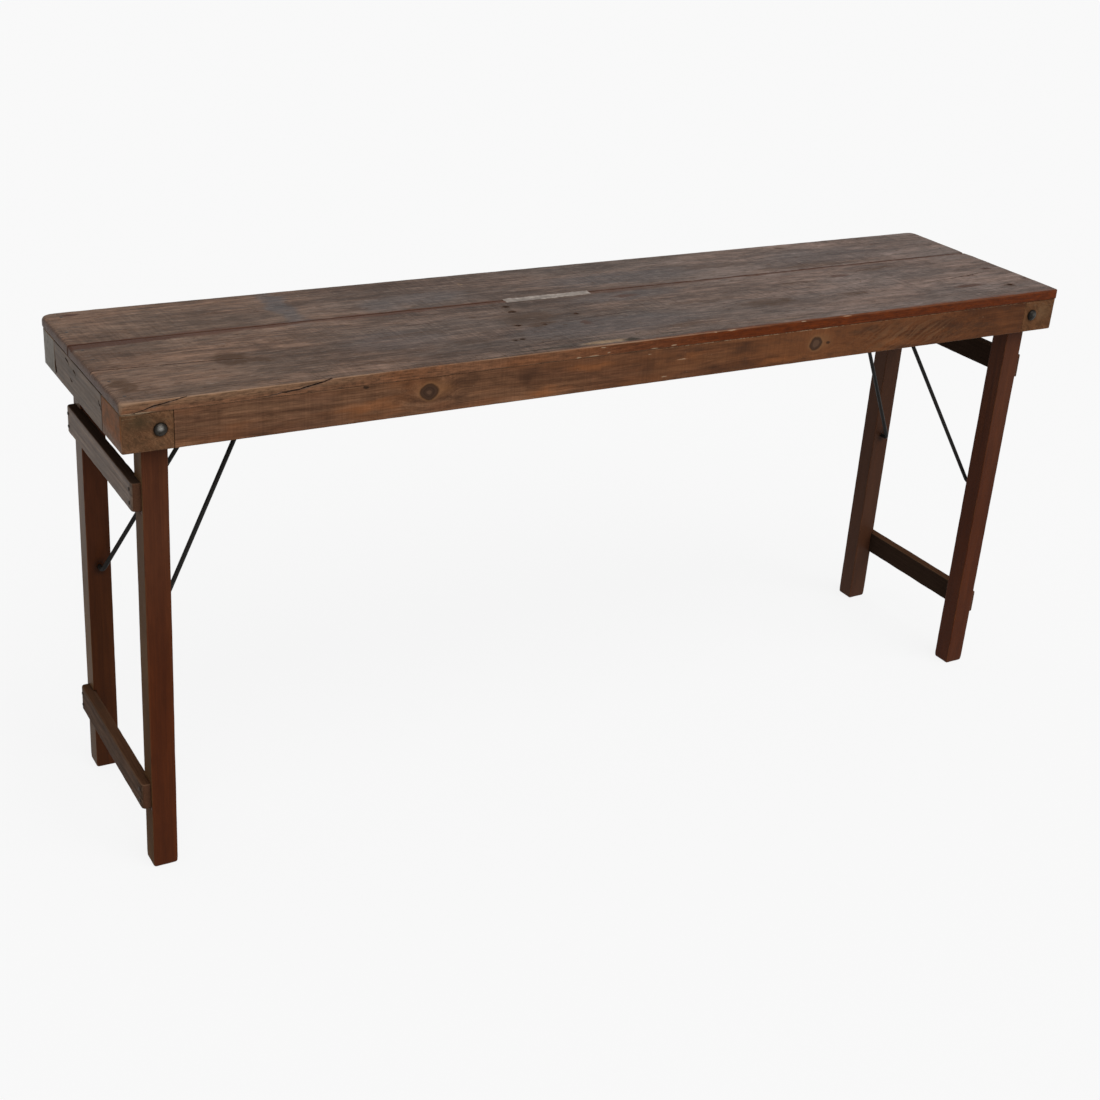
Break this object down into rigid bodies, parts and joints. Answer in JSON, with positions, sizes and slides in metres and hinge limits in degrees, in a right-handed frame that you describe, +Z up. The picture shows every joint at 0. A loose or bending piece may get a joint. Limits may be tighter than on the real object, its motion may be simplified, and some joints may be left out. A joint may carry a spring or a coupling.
{
  "type": "folding console table",
  "caption": "Long narrow plank-topped table whose leg frames fold flat under the top and are held open by bent iron stays.",
  "frame": {"origin": "on the floor, under the middle of the top", "axes": "+X along the table to the right, +Y from the front to the back, +Z up"},
  "size_m": [1.8, 0.4306, 0.814],
  "materials": {
    "top_wood": "weathered grey-brown planks, worn matt",
    "rail_wood": "warm brown waxed wood with knots",
    "leg_wood": "dark reddish brown stained wood, satin",
    "stretcher_wood": "weathered grey-brown laths, matt",
    "batten_wood": "plain sawn wood, matt",
    "black_iron": "black bar iron, satin",
    "dark_steel": "dark aged steel"
  },
  "bodies": {
    "table_top": {"top_board_front": "top_wood", "top_board_back": "top_wood", "apron_front": "rail_wood", "apron_back": "rail_wood", "corner_block_front_left": "rail_wood", "corner_block_front_right": "rail_wood", "corner_block_back_left": "rail_wood", "corner_block_back_right": "rail_wood", "end_rail_left": "stretcher_wood", "end_rail_right": "stretcher_wood", "batten_left": "batten_wood", "batten_right": "batten_wood", "batten_screw_front_left": "dark_steel", "batten_screw_back_left": "dark_steel", "batten_screw_front_right": "dark_steel", "batten_screw_back_right": "dark_steel", "stay_hook_left": "black_iron", "stay_hook_right": "black_iron", "hook_screw_left": "dark_steel", "hook_screw_right": "dark_steel", "pivot_bolt_front_left": "dark_steel", "pivot_bolt_front_right": "dark_steel", "pivot_bolt_back_left": "dark_steel", "pivot_bolt_back_right": "dark_steel", "pivot_washer_front_left": "dark_steel", "pivot_washer_front_right": "dark_steel", "pivot_washer_back_left": "dark_steel", "pivot_washer_back_right": "dark_steel", "pivot_nut_front_left": "dark_steel", "pivot_nut_front_right": "dark_steel", "pivot_nut_back_left": "dark_steel", "pivot_nut_back_right": "dark_steel"},
    "left_leg_frame": {"leg_front_left": "leg_wood", "leg_back_left": "leg_wood", "stretcher_upper_left": "stretcher_wood", "stretcher_lower_left": "stretcher_wood", "nail_upper_front_left_high": "dark_steel", "nail_upper_front_left_low": "dark_steel", "nail_upper_back_left_high": "dark_steel", "nail_upper_back_left_low": "dark_steel", "nail_lower_front_left_high": "dark_steel", "nail_lower_front_left_low": "dark_steel", "nail_lower_back_left_high": "dark_steel", "nail_lower_back_left_low": "dark_steel"},
    "right_leg_frame": {"leg_front_right": "leg_wood", "leg_back_right": "leg_wood", "stretcher_upper_right": "stretcher_wood", "stretcher_lower_right": "stretcher_wood", "nail_upper_front_right_high": "dark_steel", "nail_upper_front_right_low": "dark_steel", "nail_upper_back_right_high": "dark_steel", "nail_upper_back_right_low": "dark_steel", "nail_lower_front_right_high": "dark_steel", "nail_lower_front_right_low": "dark_steel", "nail_lower_back_right_high": "dark_steel", "nail_lower_back_right_low": "dark_steel"},
    "left_stay": {"stay_left": "black_iron"},
    "right_stay": {"stay_right": "black_iron"}
  },
  "joints": [
    {"name": "left_leg_fold", "type": "hinge", "parent": "table_top", "child": "left_leg_frame", "pos_m": [-0.842, 0, 0.769], "axis": [0, -1, 0], "range_deg": [0, 90.5]},
    {"name": "right_leg_fold", "type": "hinge", "parent": "table_top", "child": "right_leg_frame", "pos_m": [0.842, 0, 0.769], "axis": [0, 1, 0], "range_deg": [0, 90.5]},
    {"name": "left_stay_swing", "type": "hinge", "parent": "left_leg_frame", "child": "left_stay", "pos_m": [-0.84529, 0, 0.39201], "axis": [0, 1, 0], "range_deg": [0, 151.5]},
    {"name": "right_stay_swing", "type": "hinge", "parent": "right_leg_frame", "child": "right_stay", "pos_m": [0.84529, 0, 0.39201], "axis": [0, -1, 0], "range_deg": [0, 151.5]}
  ],
  "couplings": [
    {"joint": "left_stay_swing", "follows": "left_leg_fold", "ratio": 1.6737},
    {"joint": "right_stay_swing", "follows": "right_leg_fold", "ratio": 1.6737}
  ]
}
